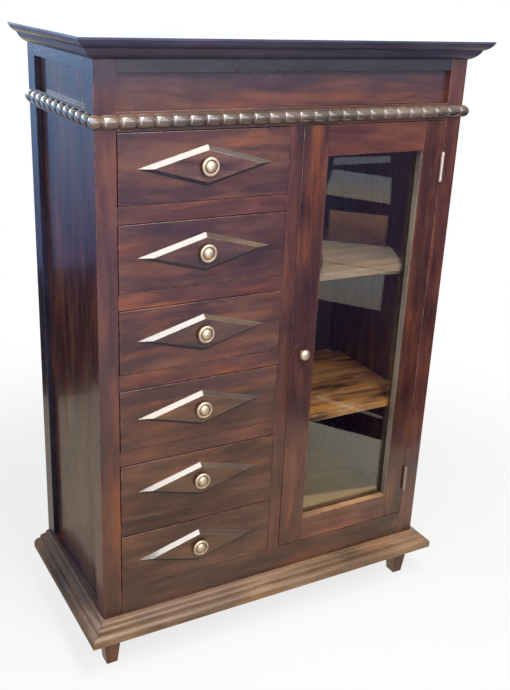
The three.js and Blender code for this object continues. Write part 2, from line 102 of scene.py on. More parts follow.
KNOB_PROFILE = [
    (0, 0), (9.5, 0), (9.5, 0.8), (8.4, 1.4), (8.0, 2.2), (8.3, 3.2), (11, 4), (15.5, 4.4),
    (17.6, 4.8), (18.7, 5.6), (19, 6.4), (18.8, 7.4), (18.1, 8.3), (17, 9), (15.8, 9.4),
    (14.6, 9.4), (13.5, 9), (12.6, 8.3), (12.1, 7.7), (11.6, 7.7), (10.9, 8.3), (10, 9.2),
    (8.6, 10.2), (7, 11), (5, 11.6), (2.5, 11.95), (0, 12),
]
KNOB_GROOVE, KNOB_GROOVE_REACH = 12.3, 1.9
DOOR_KNOB_PROFILE = [
    (0, 0), (7, 0), (7, 0.8), (6.2, 1.4), (5.5, 2.6), (5.0, 4.6), (5.0, 7.2), (5.6, 8.6),
    (7.6, 9.6), (10.1, 10.4), (11.7, 11.6), (12.4, 13.0), (12.5, 14.2), (12.1, 15.6),
    (11.3, 17.0), (9.8, 18.4), (7.6, 19.7), (5.0, 20.5), (2.5, 20.9), (0, 21),
]
DOOR_KNOB_PLACE = (47.5, FRONT - FIT, 694)

PANE_OPENING = (79.5, 328.5, 257.5, 1130.5)  # left, right, low, high
STRIP_FRONT, STRIP_REAR, STRIP_THICKNESS = FRONT + 1.2, -163.8, 2.6

HINGE_AXIS = (382.25, -185)
HINGE_MIDDLES = {"upper": 1090.5, "lower": 297.5}
HINGE_LENGTH = 64
SCREW_RADIUS, SCREW_THICKNESS = 3.1, 0.5
SCREW_SLOT_HALF, SCREW_SLOT_DEPTH = 0.45, 0.35
SCREW_RISES = (-21, 0, 21)
SCREW_SEAT = 0.65  # how deep its foot sits in the leaf, from the hinge's middle plane
SCREW_INWARD, MIDDLE_SCREW_INWARD = 10, 13
PIN_TIP_PROFILE = [(0, -1.0), (2.6, -1.0), (2.6, 0.3), (2.2, 1.1), (1.2, 1.6), (0, 1.8)]


# ---- Shader nodes ----


class Tone:
    """A value in a finish. Sums and products of tones add the Math nodes for them."""

    def __init__(self, finish, socket):
        self.finish = finish
        self.socket = socket

    def worked(self, operation, *values):
        settings = {"operation": operation}
        return self.finish.node("ShaderNodeMath", settings, dict(enumerate(values)))

    def __add__(self, other):
        return self.worked("ADD", self, other)

    def __radd__(self, other):
        return self.worked("ADD", other, self)

    def __sub__(self, other):
        return self.worked("SUBTRACT", self, other)

    def __rsub__(self, other):
        return self.worked("SUBTRACT", other, self)

    def __mul__(self, other):
        return self.worked("MULTIPLY", self, other)

    def __rmul__(self, other):
        return self.worked("MULTIPLY", other, self)

    def between(self, low, high):
        """0 below low, 1 above high, and an eased step from one to the other."""
        return self.finish.node(
            "ShaderNodeMapRange",
            {"interpolation_type": "SMOOTHSTEP", "clamp": True},
            {"Value": self, "From Min": low, "From Max": high, "To Min": 0.0, "To Max": 1.0},
        )


def four_parts(colour):
    """A colour as a socket takes it."""
    return colour if isinstance(colour, Tone) else (*colour, 1.0)


class Finish:
    """A material or the world, and the one way to add any node to it."""

    def __init__(self, name, owner=None):
        self.holder = owner or bpy.data.materials.new(name)
        self.holder.use_nodes = True
        self.tree = self.holder.node_tree
        self.tree.nodes.clear()

    def node(self, kind, settings=None, inputs=None, output=0):
        """Adds a node: its settings first (a ramp's stops among them), then values or links."""
        added = self.tree.nodes.new(kind)
        for name, value in (settings or {}).items():
            if name == "stops":
                self.set_stops(added.color_ramp, value)
            else:
                setattr(added, name, value)
        for name, value in (inputs or {}).items():
            if isinstance(value, Tone):
                self.tree.links.new(value.socket, added.inputs[name])
            else:
                added.inputs[name].default_value = value
        return Tone(self, added.outputs[output])

    @staticmethod
    def set_stops(ramp, stops):
        while len(ramp.elements) < len(stops):
            ramp.elements.new(1.0)
        for element, (place, colour) in zip(ramp.elements, stops):
            element.position = place
            element.color = four_parts(colour)

    def place(self):
        """Where a point of the surface lies, in the object's coordinates."""
        return self.node("ShaderNodeTexCoord", output="Object")

    def part(self, vector, letter):
        return self.node("ShaderNodeSeparateXYZ", {}, {"Vector": vector}, output=letter)

    def mapped(self, place, move=(0, 0, 0), scale=(1, 1, 1), turn=(0, 0, 0)):
        inputs = {"Vector": place, "Location": move, "Rotation": turn, "Scale": scale}
        return self.node("ShaderNodeMapping", {}, inputs)

    def noise(self, place, scale, detail=2.0, roughness=0.5, output=0):
        inputs = {"Vector": place, "Scale": scale, "Detail": detail, "Roughness": roughness}
        return self.node("ShaderNodeTexNoise", {}, inputs, output)

    def mark(self, name):
        """A number that the piece's mesh carries, such as wear along its edges."""
        return self.node("ShaderNodeAttribute", {"attribute_name": name}, output="Fac")

    def mixed(self, share, first, second):
        """Two colours mixed, by a share that may vary."""
        inputs = {0: share, 6: four_parts(first), 7: four_parts(second)}
        return self.node("ShaderNodeMix", {"data_type": "RGBA"}, inputs, output=2)

    def bump(self, strength, depth, height):
        inputs = {"Strength": strength, "Distance": mm(depth), "Height": height}
        return self.node("ShaderNodeBump", {}, inputs)

    def principled(self, inputs):
        return self.node("ShaderNodeBsdfPrincipled", {}, inputs)

    def glow(self, colour, strength=1.0):
        inputs = {"Color": four_parts(colour), "Strength": strength}
        return self.node("ShaderNodeEmission", {}, inputs)

    def ray(self, kind):
        """1 for light that is followed back from a camera, mirror or pane, and else 0."""
        return self.node("ShaderNodeLightPath", output=f"Is {kind} Ray")

    def either(self, share, first, second):
        """Two shaders mixed, by a share that may vary."""
        return self.node("ShaderNodeMixShader", {}, {0: share, 1: first, 2: second})

    def surface(self, shader):
        kind = "World" if isinstance(self.holder, bpy.types.World) else "Material"
        end = self.tree.nodes.new(f"ShaderNodeOutput{kind}")
        self.tree.links.new(shader.socket, end.inputs["Surface"])
        return self.holder


# ---- Wood, brass and glass ----

# Each stain's dark, body, light and streak colours, then the share of streaks
WOODS = {
    "dark": ((0.019, 0.006, 0.007), (0.078, 0.026, 0.021),
             (0.175, 0.07, 0.04), (0.28, 0.08, 0.022), 0.55),
    "red": ((0.027, 0.007, 0.008), (0.105, 0.031, 0.025),
            (0.21, 0.07, 0.038), (0.36, 0.09, 0.022), 0.65),
    "bead": ((0.04, 0.024, 0.017), (0.132, 0.091, 0.068),
             (0.23, 0.168, 0.126), (0.25, 0.12, 0.055), 0.55),
    "lozenge": ((0.028, 0.011, 0.009), (0.1, 0.043, 0.029),
                (0.2, 0.098, 0.056), (0.28, 0.1, 0.03), 0.45),
    # The next two stains are dark blue-violet: painted shade with a painted blue reflection of the
    # sky, for parts under the cornice or turned away from the light
    "painted_shade_blue": ((0.007, 0.006, 0.015), (0.026, 0.022, 0.048),
             (0.055, 0.045, 0.08), (0.09, 0.04, 0.042), 0.25),
    "edge": ((0.012, 0.01, 0.024), (0.032, 0.027, 0.066),
             (0.06, 0.05, 0.105), (0.07, 0.04, 0.06), 0.2),
    "top": ((0.01, 0.006, 0.008), (0.04, 0.023, 0.027),
            (0.085, 0.052, 0.052), (0.12, 0.05, 0.04), 0.3),
    "tan": ((0.09, 0.045, 0.024), (0.215, 0.119, 0.06),
            (0.36, 0.215, 0.115), (0.46, 0.19, 0.06), 0.8),
    "pale": ((0.2, 0.15, 0.115), (0.37, 0.285, 0.225),
             (0.52, 0.42, 0.34), (0.45, 0.29, 0.18), 0.3),
    "plain": ((0.05, 0.025, 0.012), (0.15, 0.08, 0.036),
              (0.28, 0.16, 0.08), (0.34, 0.16, 0.05), 0.4),
    # The lower shelf's stain is far lighter and redder than wood: painted light, as light falls on
    # it through the pane
    "shelf": ((0.06, 0.014, 0.006), (0.76, 0.31, 0.11),
              (1.0, 0.7, 0.34), (1.0, 0.36, 0.06), 0.95),
    "faded": ((0.12, 0.07, 0.05), (0.31, 0.178, 0.13),
              (0.54, 0.34, 0.25), (0.55, 0.27, 0.15), 0.5),
    "rough": ((0.03, 0.017, 0.011), (0.085, 0.05, 0.032),
              (0.17, 0.105, 0.068), (0.2, 0.1, 0.05), 0.3),
    # The inner stain is nearly black: painted shade inside the case
    "inner": ((0.004, 0.002, 0.004), (0.012, 0.006, 0.007),
              (0.03, 0.013, 0.012), (0.05, 0.018, 0.01), 0.4),
}

# What a board's figure is made of. The first number draws it out along the grain (the smaller,
# the longer), and the others are the scale, detail and roughness of its noise.
GRAIN = {
    "wander": (0.35, 6.0, 2.0, 0.45),
    "figure": (0.14, 34.0, 4.0, 0.52),
    "cloud": (0.5, 11.0, 3.0, 0.55),
    "veins": (0.05, 150.0, 3.0, 0.6),
    "fibres": (0.05, 1500.0, 2.0, 0.6),
    "pores": (0.04, 2100.0, 1.0, 0.5),
    "glow": (0.25, 12.0, 3.0, 0.6),
    "violet": (0.4, 7.0, 2.0, 0.5),
    "smudge": (0.6, 17.0, 3.0, 0.6),
}
GROWTH_DRAWN = 0.09
GROWTH = {"Scale": 22.0, "Distortion": 5.5, "Detail": 3.0, "Detail Scale": 1.4}
WANDER_WIDTH = 0.05

# Painted shade under the cornice: its dark blue colour, and the heights over which it comes in
CORNICE_SHADE_COLOUR = (0.022, 0.021, 0.046)
CORNICE_SHADE_RISE = (1.235, 1.305)  # from none to full, in metres above the floor

# Varnish on wood
VARNISH_IOR = 1.47
VARNISH_ROUGHNESS, POLISHED_LESS, BARE_MORE = 0.26, 0.14, 0.40
VARNISH_COAT, POLISHED_COAT_MORE = 0.30, 0.70


def place_in_log(number):
    """A fixed place in the log for board number so-and-so."""
    return ((number * 3.73) % 7, (number * 1.37) % 5, (number * 7.19) % 9)


def wood(name, stain, along, number, gloss=1.0, relief=1.0, polish=0.0, shade_of=1.0, bloom=0.0):
    """Stained wood with its grain along one axis; number picks its own part of the log.

    gloss goes from bare wood to varnish, and polish from varnish to a waxed, burnished face.
    shade_of below 1 is a darker board of the same stain and above 1 a lighter one, and
    bloom is how much painted shade, dark and blue, lies on the board just under the cornice.
    """
    *colours, streaks = WOODS[stain]
    dark, body, light, streak = (tuple(part * shade_of for part in colour) for colour in colours)
    finish = Finish(name)

    def drawn(place, share):
        scale = [1.0, 1.0, 1.0]
        scale[along] = share
        return finish.mapped(place, scale=scale)

    def layer(kind, place, output=0):
        share, *look = GRAIN[kind]
        return finish.noise(drawn(place, share), *look, output)

    # The grain wanders off its line a little
    straight = finish.mapped(finish.place(), move=place_in_log(number))
    sway = [WANDER_WIDTH] * 3
    sway[along] = 0.0
    place = finish.node(
        "ShaderNodeVectorMath",
        {"operation": "MULTIPLY_ADD"},
        {0: layer("wander", straight, "Color"), 1: sway, 2: straight},
    )

    figure, cloud, fibres = (layer(kind, place) for kind in ("figure", "cloud", "fibres"))
    growth = finish.node(
        "ShaderNodeTexWave",
        {"wave_type": "BANDS", "bands_direction": "DIAGONAL", "wave_profile": "SAW"},
        {"Vector": drawn(place, GROWTH_DRAWN), **GROWTH},
    )
    veins = layer("veins", place).between(0.55, 0.74)
    pores = layer("pores", place).between(0.60, 0.70)
    glow = layer("glow", place).between(0.50, 0.70) * figure.between(0.40, 0.60)
    violet = layer("violet", place).between(0.50, 0.68)

    level = (figure - 0.5) * 0.85 + (cloud - 0.5) * 1.10 + (growth - 0.5) * 0.12
    level = level + (fibres - 0.5) * 0.20 + 0.5
    stops = {"stops": [(0.20, dark), (0.50, body), (0.80, light)]}
    colour = finish.node("ShaderNodeValToRGB", stops, {"Fac": level})
    colour = finish.mixed(glow * streaks, colour, streak)
    # Here and there the stain has gone violet
    colour = finish.mixed(violet * 0.35, colour, (body[0] * 0.72, body[1] * 0.80, body[2] * 1.55))
    colour = finish.mixed(veins * 0.42, colour, dark)
    colour = finish.mixed(pores * 0.5, colour, tuple(part * 0.5 for part in dark))
    # Painted shade under the cornice: the top of the board is darkened towards dark blue
    if bloom:
        rise = finish.part(finish.place(), "Z").between(*CORNICE_SHADE_RISE)
        colour = finish.mixed(rise * bloom, colour, CORNICE_SHADE_COLOUR)

    # Rubbed arrises show paler wood; the seam mark darkens joint lines with dirt, and on the
    # beads' undersides it is painted shade
    wear = finish.mark("wear") * finish.noise(place, 75.0, 3.0, 0.6).between(0.40, 0.66)
    colour = finish.mixed(wear * 0.6, colour, tuple(min(1, part * 1.5 + 0.05) for part in light))
    colour = finish.mixed(finish.mark("seam") * 0.85, colour, tuple(part * 0.35 for part in dark))

    varnish = VARNISH_ROUGHNESS - POLISHED_LESS * polish + BARE_MORE * (1 - gloss)
    smudge = layer("smudge", place)
    unevenness = (smudge - 0.5) * 0.16 + (figure - 0.5) * 0.10 + pores * 0.15 + wear * 0.2
    height = figure * 0.30 + fibres * 0.18 - veins * 0.20 - pores * 0.8
    shader = finish.principled({
        "Base Color": colour,
        "Roughness": unevenness * (1 - 0.6 * polish) + varnish,
        "IOR": VARNISH_IOR,
        "Coat Weight": gloss * (VARNISH_COAT + POLISHED_COAT_MORE * polish),
        "Coat Roughness": 0.09 - 0.06 * polish,
        "Normal": finish.bump(0.45 * relief, 0.16, height),
    })
    return finish.surface(shader)


next_board = itertools.count(1)


def stained(name, stain, along, **kept):
    """A new board's own wood, cut from the next part of the log."""
    return wood(name, stain, along, next(next_board), **kept)


# The upper-right slopes of the lozenges are painted lighter, a painted sheen where light catches
# them, and share two boards of their own
GREY_SHEEN_BOARD, BROWN_SHEEN_BOARD = 91, 92
# How light each lozenge came out of the stain, from the top drawer down
LOZENGE_SHADES = (1.7, 0.75, 0.55, 0.95, 1.0, 0.85)

KNOB_BRASS = ((0.51, 0.42, 0.315), (0.13, 0.088, 0.056), 0.38)
# The lower hinge's brass is darker and duller than the upper's
HINGE_BRASS = {
    "upper": ((0.52, 0.44, 0.38), (0.16, 0.11, 0.08), 0.36),
    "lower": ((0.30, 0.245, 0.21), (0.16, 0.11, 0.08), 0.46),
}
GLASS_COLOUR = (0.90, 0.93, 0.92)
GLASS_IOR = 1.6


def brass(name, base, tarnish, roughness):
    """Lacquered brass gone dull in its hollows, with rubbed spots and fine scratches."""
    finish = Finish(name)
    place = finish.place()
    cloud = finish.noise(place, 160.0, 4.0, 0.6)
    specks = finish.noise(place, 900.0, 2.0, 0.6).between(0.58, 0.70)
    dull = finish.mark("grime") * 0.9 + specks * 0.25 + cloud.between(0.45, 0.70) * 0.35
    dull = finish.node("ShaderNodeClamp", {}, {"Value": dull})
    slanted = finish.mapped(place, scale=(1.0, 1.0, 0.12), turn=(0, 0.6, 0))
    scratches = finish.noise(slanted, 2600.0, 2.0)
    shader = finish.principled({
        "Base Color": finish.mixed(dull, base, tarnish),
        "Metallic": 1.0,
        "Roughness": roughness + cloud * 0.12 + dull * 0.25 + scratches * 0.05,
        "Normal": finish.bump(0.3, 0.08, scratches + cloud * 0.6),
    })
    return finish.surface(shader)


def window_glass():
    """Old sheet glass: clear, a little wavy, and slightly green."""
    finish = Finish("door_glass")
    waves = finish.noise(finish.mapped(finish.place(), scale=(1.0, 1.0, 0.45)), 7.0, 1.0, 0.3)
    bump = finish.bump(0.15, 0.3, waves)
    clear = finish.node("ShaderNodeBsdfTransparent", {}, {"Color": four_parts(GLASS_COLOUR)})
    white = four_parts((1, 1, 1))
    shine = {"Base Color": white, "Metallic": 1.0, "Roughness": 0.02, "Normal": bump}
    inside = finish.node("ShaderNodeNewGeometry", output="Backfacing")
    index = GLASS_IOR - inside * (GLASS_IOR - 1 / GLASS_IOR)
    mirrored = finish.node("ShaderNodeFresnel", {}, {"IOR": index, "Normal": bump})
    finish.holder.surface_render_method = "BLENDED"
    return finish.surface(finish.either(mirrored, clear, finish.principled(shine)))


# ---- Mesh work ----

WELD, CUT_WELD, TURN_WELD = 0.02, 0.001, 0.005  # points closer than this become one, in mm
FLAT_ENOUGH = 0.8  # degrees between triangles of one flat face
JOINT_PROBE_OUT, JOINT_PROBE_REACH = 0.8, 0.72
JOINT_PROBE_PLACES = (0.3, 0.5, 0.7)
JOINT_ARRIS_SHARE = 0.45
CLAMP_BELOW = 2.4  # roundings may meet where an edge is shorter than this many of them


def finished_mesh(shape, name, material):
    mesh = bpy.data.meshes.new(name)
    shape.to_mesh(mesh)
    shape.free()
    mesh.materials.append(material)
    return mesh


def added(name, shape, material):
    """The shape as an object of the scene."""
    holder = bpy.data.objects.new(name, finished_mesh(shape, name, material))
    bpy.context.scene.collection.objects.link(holder)
    return holder


def fitted(shape, name, body, material, replaced=()):
    """The shape as a piece that rides on its body and stands for its CAD nodes."""
    piece = added(name, shape, material)
    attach(piece, body)
    if replaced:
        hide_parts(*replaced)
    return piece


def further_finish(piece, material, belongs):
    """Gives another finish to the faces whose normal belongs to it."""
    piece.data.materials.append(material)
    for face in piece.data.polygons:
        if belongs(face.normal):
            face.material_index = len(piece.data.materials) - 1


def merged_copy(node):
    """A CAD node's triangles joined to one skin, its flat faces whole again."""
    shape = bmesh.new()
    shape.from_mesh(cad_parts[node].data)
    bmesh.ops.remove_doubles(shape, verts=shape.verts, dist=mm(WELD))
    flat = math.radians(FLAT_ENOUGH)
    bmesh.ops.dissolve_limit(shape, angle_limit=flat, verts=shape.verts, edges=shape.edges)
    return shape


def all_triangles():
    """The whole CAD model as one search tree, with the node that owns each triangle."""
    corners, faces, owners = [], [], []
    for name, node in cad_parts.items():
        first = len(corners)
        corners.extend(vertex.co.copy() for vertex in node.data.vertices)
        for face in node.data.polygons:
            faces.append([first + index for index in face.vertices])
            owners.append(name)
    return BVHTree.FromPolygons(corners, faces), owners


case_tree, case_owners = all_triangles()


def meets_another(point, node):
    found = case_tree.find_nearest_range(point, mm(JOINT_PROBE_REACH))
    return any(case_owners[hit[2]] != node for hit in found)


def on_a_joint(edge, node):
    """Whether another CAD node lies along this edge of the node."""
    out = (edge.link_faces[0].normal + edge.link_faces[1].normal).normalized()
    first, last = (vertex.co for vertex in edge.verts)
    return all(
        meets_another(first.lerp(last, share) + out * mm(JOINT_PROBE_OUT), node)
        for share in JOINT_PROBE_PLACES
    )


def ease(shape, arris, node=None, segments=2, steepest=38):
    """Rounds the arrises, and marks them as rubbed or, where another node meets, as joints."""
    shape.normal_update()
    wear = shape.faces.layers.float.new("wear")
    seam = shape.faces.layers.float.new("seam")
    open_edges, joint_edges = [], []
    for edge in shape.edges:
        if edge.is_manifold and edge.calc_face_angle_signed(0.0) >= math.radians(steepest):
            joined = node is not None and on_a_joint(edge, node)
            (joint_edges if joined else open_edges).append(edge)
    shortest = min((edge.calc_length() for edge in shape.edges), default=1.0)
    for edges, share, layer in ((open_edges, 1.0, wear), (joint_edges, JOINT_ARRIS_SHARE, seam)):
        edges = [edge for edge in edges if edge.is_valid]
        if not edges:
            continue
        made = bmesh.ops.bevel(
            shape,
            geom=edges,
            offset=mm(arris) * share,
            offset_type="OFFSET",
            affect="EDGES",
            segments=segments,
            profile=0.5,
            material=-1,
            clamp_overlap=shortest < mm(arris) * CLAMP_BELOW,
        )
        for face in made["faces"]:
            face[layer] = 1.0


def shade(shape, sharpest=32):
    """Smooth faces with creases where they turn sharply or an eased arris begins."""
    shape.normal_update()
    wear = shape.faces.layers.float.get("wear")
    seam = shape.faces.layers.float.get("seam")

    def eased(face):
        return wear is not None and face[wear] + face[seam] > 0.5

    for face in shape.faces:
        face.smooth = True
    for edge in shape.edges:
        edge.smooth = False
        if len(edge.link_faces) == 2 and edge.calc_face_angle(0.0) <= math.radians(sharpest):
            first, second = edge.link_faces
            edge.smooth = eased(first) == eased(second)


def block(low, high):
    """A plain board between two corners, ready to be eased."""
    shape = bmesh.new()
    bmesh.ops.create_cube(shape, size=1.0)
    bmesh.ops.scale(shape, vec=high - low, verts=shape.verts)
    bmesh.ops.translate(shape, vec=(high + low) / 2, verts=shape.verts)
    return shape


def eased_piece(shape, arris, name, body, material, replaced=(), node=None):
    """The shape as a piece, its arrises rounded; a CAD node's own shape is searched for joints."""
    ease(shape, arris, node)
    shade(shape)
    return fitted(shape, name, body, material, replaced)


def plank(node, name, stain, along, slot="wood_dark", arris=ARRIS, body="carcass", **kept):
    """A CAD node as a piece of its own, with its arrises eased, in wood that is cut for it."""
    material = stained(f"{name}_wood", stain, along, **kept)
    return eased_piece(merged_copy(node), arris, name, body, material, (node,), node)


def raised(shape, faces, move):
    """Pulls faces out of the shape, and gives the corners that moved."""
    made = bmesh.ops.extrude_face_region(shape, geom=faces)["geom"]
    corners = [item for item in made if isinstance(item, bmesh.types.BMVert)]
    bmesh.ops.translate(shape, vec=move, verts=corners)
    return corners


def cut_off(shape, point, outward):
    """Cuts away what lies beyond a plane, and closes the cut."""
    bmesh.ops.bisect_plane(
        shape,
        geom=shape.verts[:] + shape.edges[:] + shape.faces[:],
        dist=mm(CUT_WELD),
        plane_co=point,
        plane_no=outward,
        clear_outer=True,
    )
    rims = [edge for edge in shape.edges if edge.is_boundary]
    if rims:
        bmesh.ops.holes_fill(shape, edges=rims, sides=0)


def turned(profile, centre, axis, out, sides):
    """A turned shape: profile gives (radius, place along the axis) in millimetres."""
    shape = bmesh.new()
    chain = [
        shape.verts.new(centre + out * mm(radius) + axis * mm(along)) for radius, along in profile
    ]
    edges = [shape.edges.new(pair) for pair in zip(chain, chain[1:])]
    bmesh.ops.spin(
        shape,
        geom=chain + edges,
        cent=centre,
        axis=axis,
        dvec=(0, 0, 0),
        angle=2 * math.pi,
        steps=sides,
        use_merge=True,
    )
    bmesh.ops.remove_doubles(shape, verts=shape.verts, dist=mm(TURN_WELD))
    bmesh.ops.recalc_face_normals(shape, faces=shape.faces)
    return shape


# ---- The case: posts, rails, panels, shelves ----


def make_case():
    for side in ("left", "right"):
        # The left front post carries painted shade under the cornice
        plank(f"post_front_{side}", f"front_post_{side}", "red", HEIGHT, "wood_red", POST_ARRIS,
              shade_of=0.92, bloom=0.75 if side == "left" else 0.0)
        # The back posts and the upper side rails take the dark blue stain: painted shade and
        # painted blue reflection
        plank(f"post_back_{side}", f"back_post_{side}", "painted_shade_blue", HEIGHT, arris=POST_ARRIS)
        plank(f"side_top_rail_{side}", f"upper_side_rail_{side}", "painted_shade_blue", DEPTH)
        plank(f"side_bottom_rail_{side}", f"lower_side_rail_{side}", "dark", DEPTH)
        # The bed mouldings under the cornice take the dark blue-violet stain: painted shade
        plank(f"bed_moulding_{side}", f"side_bed_moulding_{side}", "edge", DEPTH,
              arris=BED_ARRIS, gloss=0.75)
        plank(f"plinth_moulding_{side}", f"side_base_moulding_{side}", "rough", DEPTH,
              "wood_tan", BASE_ARRIS, gloss=0.45, shade_of=1.6)
    # The front bed moulding takes the dark blue-violet stain: painted shade
    plank("bed_moulding_front", "front_bed_moulding", "edge", LENGTH,
          arris=BED_ARRIS, gloss=0.35)
    plank("plinth_moulding_front", "front_base_moulding", "tan", LENGTH,
          "wood_tan", BASE_ARRIS, gloss=0.6)
    make_top()
    make_frieze()
    plank("front_bottom_rail", "lower_front_rail", "dark", LENGTH, shade_of=0.85)
    plank("centre_partition", "middle_partition", "red", HEIGHT, "wood_red", shade_of=0.82)
    for number in range(1, DRAWER_COUNT):
        plank(f"drawer_rail_{number}", f"rail_below_drawer_{number}", "red", LENGTH,
              shade_of=0.88)
    # The lower shelf's bright stain is painted light
    for level, stain in (("lower", "shelf"), ("upper", "faded")):
        plank(f"shelf_{level}", f"{level}_shelf_board", stain, LENGTH,
              "wood_plain", SHELF_ARRIS, gloss=0.3)
    plank("bottom_board", "case_floor", "plain", LENGTH, "wood_plain", gloss=0.2)


def make_top():
    """The top board, polished above, with its moulded edge in a duller, dark blue-violet finish
    that is painted shade and painted blue reflection.
    """
    top = plank("top_board", "moulded_top", "top", LENGTH,
                arris=TOP_ARRIS, relief=0.12, polish=0.3)
    edge_wood = stained("moulded_edge_wood", "edge", LENGTH, gloss=0.35)
    end_wood = stained("moulded_end_wood", "edge", DEPTH, gloss=0.75)
    further_finish(top, edge_wood, lambda turn: turn.z < 0.97)
    further_finish(top, end_wood, lambda turn: turn.z < 0.97 and abs(turn.x) > abs(turn.y))


def make_frieze():
    """The frieze board as two pieces: the rail along its top, in the dark blue stain, and the
    field below; both carry painted shade under the cornice.
    """
    for name, stain, shade_of, bloom, cut_side in (
        ("upper_front_rail", "painted_shade_blue", 0.6, 0.0, -1),
        ("frieze_field", "dark", 1.18, 0.7, 1),
    ):
        shape = merged_copy("frieze_board")
        cut_off(shape, mm(0, 0, FRIEZE_FIELD_TOP), Vector((0, 0, cut_side)))
        material = stained(f"{name}_wood", stain, LENGTH, shade_of=shade_of, bloom=bloom)
        eased_piece(shape, ARRIS, name, "carcass", material,
                    ("frieze_board",), "frieze_board")


def panel_board(node, name, axis, limits, material):
    """One of the boards that a panel is glued up from, with half a fine V along each joint."""
    shape = merged_copy(node)
    for limit, side in zip(limits, (-1, 1)):
        if limit is not None:
            outward = Vector((0, 0, 0))
            outward[axis] = side
            cut_off(shape, outward * (mm(limit) * side), outward)
    return eased_piece(shape, PANEL_ARRIS, name, "carcass", material, (node,), node)


def make_panels():
    limits = (None, *SIDE_PANEL_JOINTS, None)
    for side in ("left", "right"):
        for pair, place in zip(zip(limits, limits[1:]), ("front", "middle", "back")):
            name = f"side_board_{side}_{place}"
            panel_board(f"side_panel_{side}", name, DEPTH, pair,
                        stained(f"{name}_wood", "dark", HEIGHT))
    limits = (None, *BACK_PANEL_JOINTS, None)
    for number, pair in enumerate(zip(limits, limits[1:]), 1):
        name = f"back_plank_{number}"
        # The inside of the back planks takes the nearly black stain: painted shade
        board = panel_board("back_panel", name, LENGTH, pair,
                            stained(f"{name}_wood", "inner", HEIGHT, gloss=0.0))
        outside = stained(f"{name}_outside", "rough", HEIGHT, gloss=0.25)
        further_finish(board, outside, lambda turn: turn.y > 0.3)


# ---- Bead mouldings ----


def bead_radius(share):
    middle = abs(2 * share - 1)
    bulge = (1 - middle**BEAD_SQUARENESS) ** (1 / BEAD_SQUARENESS)
    return BEAD_NECK + BEAD_SWELL * bulge


def bead_profile(start, beads, pitch):
    """Radius and place of a turned string of beads, with a spare one ahead of its start."""
    shares = [(1 - math.cos(math.pi * step / BEAD_STEPS)) / 2 for step in range(BEAD_STEPS)]
    rows = [
        (bead_radius(share), start + (bead + share) * pitch)
        for bead in range(-1, beads)
        for share in shares
    ]
    rows.append((BEAD_NECK, start + beads * pitch))
    return [(0, rows[0][1]), *rows, (0, rows[-1][1])]


def fitted_beads(shape, name, along, node):
    ease(shape, BEAD_ARRIS, segments=1, steepest=60)
    shade(shape, 40)
    # Painted shade under the beads: faces turned downwards are darkened through the seam mark, the
    # more the steeper
    seam = shape.faces.layers.float["seam"]
    for face in shape.faces:
        face[seam] = max(face[seam], min(0.6, -0.7 * face.normal.z - 0.05))
    material = stained(f"{name}_wood", "bead", along, relief=0.4, polish=0.75)
    fitted(shape, name, "carcass", material, (node,))


def bead_backing(name, along, slot, node, *spans):
    """A plain board behind the beads, between its limits along each axis in millimetres."""
    low, high = (mm(*corner) for corner in zip(*(sorted(span) for span in spans)))
    material = stained(f"{name}_wood", "dark", along)
    eased_piece(block(low, high), ARRIS, name, "carcass", material, (node,))


def make_bead_rails():
    rail = (BAY_TOP, BAY_TOP + BEAD_RAIL_HEIGHT)
    tongue = (BEAD_LEVEL - TONGUE_HALF, BEAD_LEVEL + TONGUE_HALF)

    start = -(CASE_HALF - BEAD_START)
    string = turned(bead_profile(start, FRONT_BEADS + 1, BEAD_PITCH),
                    mm(0, FRONT + BEAD_SUNK, BEAD_LEVEL), RIGHT, FORWARD, BEAD_SIDES)
    cut_off(string, mm(0, FRONT - FIT, 0), BACKWARD)
    for side in (-1, 1):
        cut_off(string, mm(side * CASE_HALF, FRONT - FIT, 0), Vector((side, 1, 0)))
    fitted_beads(string, "front_beads", LENGTH, "bead_rail_front")
    reach = CASE_HALF - POST_WIDTH - FIT
    for name, depth, up in (
        ("front_bead_board", (FRONT, FRONT + BEAD_BOARD_DEPTH), rail),
        ("front_bead_tongue", (FRONT - TONGUE_PROUD, FRONT + TONGUE_DEPTH), tongue),
    ):
        bead_backing(name, LENGTH, "wood_red", "bead_rail_front", (-reach, reach), depth, up)

    start = FRONT + BEAD_START
    pitch = (BACK - start) / SIDE_BEADS
    depth = (FRONT + POST_DEPTH + FIT, BACK - POST_DEPTH - FIT)
    for side, word in ((-1, "left"), (1, "right")):
        wall, node = side * CASE_HALF, f"bead_rail_{word}"
        string = turned(bead_profile(start, SIDE_BEADS, pitch),
                        mm(wall - side * BEAD_SUNK, 0, BEAD_LEVEL), BACKWARD, RIGHT * side,
                        BEAD_SIDES)
        cut_off(string, mm(wall + side * FIT, 0, 0), RIGHT * -side)
        cut_off(string, mm(wall + side * FIT, FRONT, 0), Vector((-side, -1, 0)))
        cut_off(string, mm(0, BACK - 0.1, 0), BACKWARD)
        fitted_beads(string, f"side_beads_{word}", DEPTH, node)
        near = side * 1000 * min(abs(corner.x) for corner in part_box(node))
        for name, face, up in (
            ("side_bead_board", wall, rail),
            ("side_bead_tongue", wall + side * TONGUE_PROUD, tongue),
        ):
            bead_backing(f"{name}_{word}", DEPTH, "wood_dark", node, (near, face), depth, up)


# ---- Knobs and drawers ----


def drawer_knob_dirt(radius, along):
    """How dirty the knob is at a radius and height: in its groove and round its neck."""
    if along > 6.5:
        return min(1.0, max(0.0, 1.3 - abs(radius - KNOB_GROOVE) / KNOB_GROOVE_REACH))
    return 1.0 if along < 3.8 and radius < 10 else 0.0


def door_knob_dirt(_radius, along):
    return 1.0 if along < 9 else 0.0


